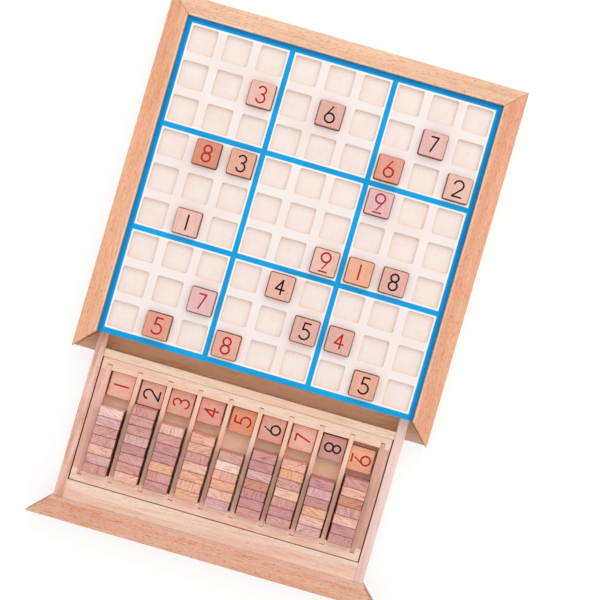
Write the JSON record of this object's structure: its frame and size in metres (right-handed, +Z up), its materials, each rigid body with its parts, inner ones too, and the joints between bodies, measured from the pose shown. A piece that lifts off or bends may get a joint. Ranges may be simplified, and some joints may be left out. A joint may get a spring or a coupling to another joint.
{
  "type": "sudoku board game set",
  "caption": "Square wooden sudoku board with a sunk pocket grid, loose number tiles and a sloped-front drawer that holds a divided tile tray.",
  "frame": {"origin": "middle of the base panel's underside", "axes": "+Z up, drawer pulls out towards -Y, +X to the right of a player who faces the drawer"},
  "size_m": [0.298, 0.436, 0.0397],
  "materials": {
    "frame_wood": "satin varnished beech",
    "base_board": "plain pale board",
    "grid_sheet": "white painted sheet with blue lines",
    "pocket_floor": "off-white painted sheet",
    "drawer_wood": "pale sanded wood",
    "tray_wood": "pinkish sanded wood",
    "tile_wood": "sanded wood with cut and painted numbers",
    "stack_wood": "sanded wood, mixed tones"
  },
  "bodies": {
    "case": {"base_panel": "base_board", "left_moulding": "frame_wood", "right_moulding": "frame_wood", "back_moulding": "frame_wood", "board_backing": "pocket_floor", "board_grid": "grid_sheet"},
    "drawer": {"drawer_front_moulding": "frame_wood", "drawer_front_wall": "drawer_wood", "drawer_left_wall": "drawer_wood", "drawer_right_wall": "drawer_wood", "drawer_back_wall": "drawer_wood", "drawer_cross_rail": "drawer_wood", "drawer_floor": "drawer_wood"},
    "tray": {"tray_floor": "tray_wood", "tray_back_rail": "tray_wood", "tray_front_rail": "tray_wood", "tray_left_rail": "tray_wood", "tray_right_rail": "tray_wood", "tray_dividers": "tray_wood"},
    "body_tile_r2c3": {"tile_r2c3": "tile_wood"},
    "body_tile_r2c5": {"tile_r2c5": "tile_wood"},
    "body_tile_r2c8": {"tile_r2c8": "tile_wood"},
    "body_tile_r3c7": {"tile_r3c7": "tile_wood"},
    "body_tile_r3c9": {"tile_r3c9": "tile_wood"},
    "body_tile_r4c2": {"tile_r4c2": "tile_wood"},
    "body_tile_r4c3": {"tile_r4c3": "tile_wood"},
    "body_tile_r4c7": {"tile_r4c7": "tile_wood"},
    "body_tile_r6c2": {"tile_r6c2": "tile_wood"},
    "body_tile_r6c6": {"tile_r6c6": "tile_wood"},
    "body_tile_r6c7": {"tile_r6c7": "tile_wood"},
    "body_tile_r6c8": {"tile_r6c8": "tile_wood"},
    "body_tile_r7c5": {"tile_r7c5": "tile_wood"},
    "body_tile_r8c3": {"tile_r8c3": "tile_wood"},
    "body_tile_r8c6": {"tile_r8c6": "tile_wood"},
    "body_tile_r8c7": {"tile_r8c7": "tile_wood"},
    "body_tile_r9c2": {"tile_r9c2": "tile_wood"},
    "body_tile_r9c4": {"tile_r9c4": "tile_wood"},
    "body_tile_r9c8": {"tile_r9c8": "tile_wood"},
    "body_flat_tile_1": {"flat_tile_1": "tile_wood"},
    "body_flat_tile_2": {"flat_tile_2": "tile_wood"},
    "body_flat_tile_3": {"flat_tile_3": "tile_wood"},
    "body_flat_tile_4": {"flat_tile_4": "tile_wood"},
    "body_flat_tile_5": {"flat_tile_5": "tile_wood"},
    "body_flat_tile_6": {"flat_tile_6": "tile_wood"},
    "body_flat_tile_7": {"flat_tile_7": "tile_wood"},
    "body_flat_tile_8": {"flat_tile_8": "tile_wood"},
    "body_flat_tile_9": {"flat_tile_9": "tile_wood"},
    "body_tile_stack_1": {"tile_stack_1": "stack_wood"},
    "body_tile_stack_2": {"tile_stack_2": "stack_wood"},
    "body_tile_stack_3": {"tile_stack_3": "stack_wood"},
    "body_tile_stack_4": {"tile_stack_4": "stack_wood"},
    "body_tile_stack_5": {"tile_stack_5": "stack_wood"},
    "body_tile_stack_6": {"tile_stack_6": "stack_wood"},
    "body_tile_stack_7": {"tile_stack_7": "stack_wood"},
    "body_tile_stack_8": {"tile_stack_8": "stack_wood"},
    "body_tile_stack_9": {"tile_stack_9": "stack_wood"}
  },
  "joints": [
    {"name": "drawer_slide", "type": "slide", "parent": "case", "child": "drawer", "axis": [0, -1, 0], "range_m": [-0.138, 0.06]},
    {"name": "tray_lift", "type": "slide", "parent": "drawer", "child": "tray", "axis": [0, 0, 1], "range_m": [0, 0.06]},
    {"name": "lift_tile_r2c3", "type": "slide", "parent": "case", "child": "body_tile_r2c3", "axis": [0, 0, 1], "range_m": [0, 0.03]},
    {"name": "lift_tile_r2c5", "type": "slide", "parent": "case", "child": "body_tile_r2c5", "axis": [0, 0, 1], "range_m": [0, 0.03]},
    {"name": "lift_tile_r2c8", "type": "slide", "parent": "case", "child": "body_tile_r2c8", "axis": [0, 0, 1], "range_m": [0, 0.03]},
    {"name": "lift_tile_r3c7", "type": "slide", "parent": "case", "child": "body_tile_r3c7", "axis": [0, 0, 1], "range_m": [0, 0.03]},
    {"name": "lift_tile_r3c9", "type": "slide", "parent": "case", "child": "body_tile_r3c9", "axis": [0, 0, 1], "range_m": [0, 0.03]},
    {"name": "lift_tile_r4c2", "type": "slide", "parent": "case", "child": "body_tile_r4c2", "axis": [0, 0, 1], "range_m": [0, 0.03]},
    {"name": "lift_tile_r4c3", "type": "slide", "parent": "case", "child": "body_tile_r4c3", "axis": [0, 0, 1], "range_m": [0, 0.03]},
    {"name": "lift_tile_r4c7", "type": "slide", "parent": "case", "child": "body_tile_r4c7", "axis": [0, 0, 1], "range_m": [0, 0.03]},
    {"name": "lift_tile_r6c2", "type": "slide", "parent": "case", "child": "body_tile_r6c2", "axis": [0, 0, 1], "range_m": [0, 0.03]},
    {"name": "lift_tile_r6c6", "type": "slide", "parent": "case", "child": "body_tile_r6c6", "axis": [0, 0, 1], "range_m": [0, 0.03]},
    {"name": "lift_tile_r6c7", "type": "slide", "parent": "case", "child": "body_tile_r6c7", "axis": [0, 0, 1], "range_m": [0, 0.03]},
    {"name": "lift_tile_r6c8", "type": "slide", "parent": "case", "child": "body_tile_r6c8", "axis": [0, 0, 1], "range_m": [0, 0.03]},
    {"name": "lift_tile_r7c5", "type": "slide", "parent": "case", "child": "body_tile_r7c5", "axis": [0, 0, 1], "range_m": [0, 0.03]},
    {"name": "lift_tile_r8c3", "type": "slide", "parent": "case", "child": "body_tile_r8c3", "axis": [0, 0, 1], "range_m": [0, 0.03]},
    {"name": "lift_tile_r8c6", "type": "slide", "parent": "case", "child": "body_tile_r8c6", "axis": [0, 0, 1], "range_m": [0, 0.03]},
    {"name": "lift_tile_r8c7", "type": "slide", "parent": "case", "child": "body_tile_r8c7", "axis": [0, 0, 1], "range_m": [0, 0.03]},
    {"name": "lift_tile_r9c2", "type": "slide", "parent": "case", "child": "body_tile_r9c2", "axis": [0, 0, 1], "range_m": [0, 0.03]},
    {"name": "lift_tile_r9c4", "type": "slide", "parent": "case", "child": "body_tile_r9c4", "axis": [0, 0, 1], "range_m": [0, 0.03]},
    {"name": "lift_tile_r9c8", "type": "slide", "parent": "case", "child": "body_tile_r9c8", "axis": [0, 0, 1], "range_m": [0, 0.03]},
    {"name": "lift_flat_tile_1", "type": "slide", "parent": "tray", "child": "body_flat_tile_1", "axis": [0, 0, 1], "range_m": [0, 0.04]},
    {"name": "lift_flat_tile_2", "type": "slide", "parent": "tray", "child": "body_flat_tile_2", "axis": [0, 0, 1], "range_m": [0, 0.04]},
    {"name": "lift_flat_tile_3", "type": "slide", "parent": "tray", "child": "body_flat_tile_3", "axis": [0, 0, 1], "range_m": [0, 0.04]},
    {"name": "lift_flat_tile_4", "type": "slide", "parent": "tray", "child": "body_flat_tile_4", "axis": [0, 0, 1], "range_m": [0, 0.04]},
    {"name": "lift_flat_tile_5", "type": "slide", "parent": "tray", "child": "body_flat_tile_5", "axis": [0, 0, 1], "range_m": [0, 0.04]},
    {"name": "lift_flat_tile_6", "type": "slide", "parent": "tray", "child": "body_flat_tile_6", "axis": [0, 0, 1], "range_m": [0, 0.04]},
    {"name": "lift_flat_tile_7", "type": "slide", "parent": "tray", "child": "body_flat_tile_7", "axis": [0, 0, 1], "range_m": [0, 0.04]},
    {"name": "lift_flat_tile_8", "type": "slide", "parent": "tray", "child": "body_flat_tile_8", "axis": [0, 0, 1], "range_m": [0, 0.04]},
    {"name": "lift_flat_tile_9", "type": "slide", "parent": "tray", "child": "body_flat_tile_9", "axis": [0, 0, 1], "range_m": [0, 0.04]},
    {"name": "lift_tile_stack_1", "type": "slide", "parent": "tray", "child": "body_tile_stack_1", "axis": [0, 0, 1], "range_m": [0, 0.04]},
    {"name": "lift_tile_stack_2", "type": "slide", "parent": "tray", "child": "body_tile_stack_2", "axis": [0, 0, 1], "range_m": [0, 0.04]},
    {"name": "lift_tile_stack_3", "type": "slide", "parent": "tray", "child": "body_tile_stack_3", "axis": [0, 0, 1], "range_m": [0, 0.04]},
    {"name": "lift_tile_stack_4", "type": "slide", "parent": "tray", "child": "body_tile_stack_4", "axis": [0, 0, 1], "range_m": [0, 0.04]},
    {"name": "lift_tile_stack_5", "type": "slide", "parent": "tray", "child": "body_tile_stack_5", "axis": [0, 0, 1], "range_m": [0, 0.04]},
    {"name": "lift_tile_stack_6", "type": "slide", "parent": "tray", "child": "body_tile_stack_6", "axis": [0, 0, 1], "range_m": [0, 0.04]},
    {"name": "lift_tile_stack_7", "type": "slide", "parent": "tray", "child": "body_tile_stack_7", "axis": [0, 0, 1], "range_m": [0, 0.04]},
    {"name": "lift_tile_stack_8", "type": "slide", "parent": "tray", "child": "body_tile_stack_8", "axis": [0, 0, 1], "range_m": [0, 0.04]},
    {"name": "lift_tile_stack_9", "type": "slide", "parent": "tray", "child": "body_tile_stack_9", "axis": [0, 0, 1], "range_m": [0, 0.04]}
  ]
}
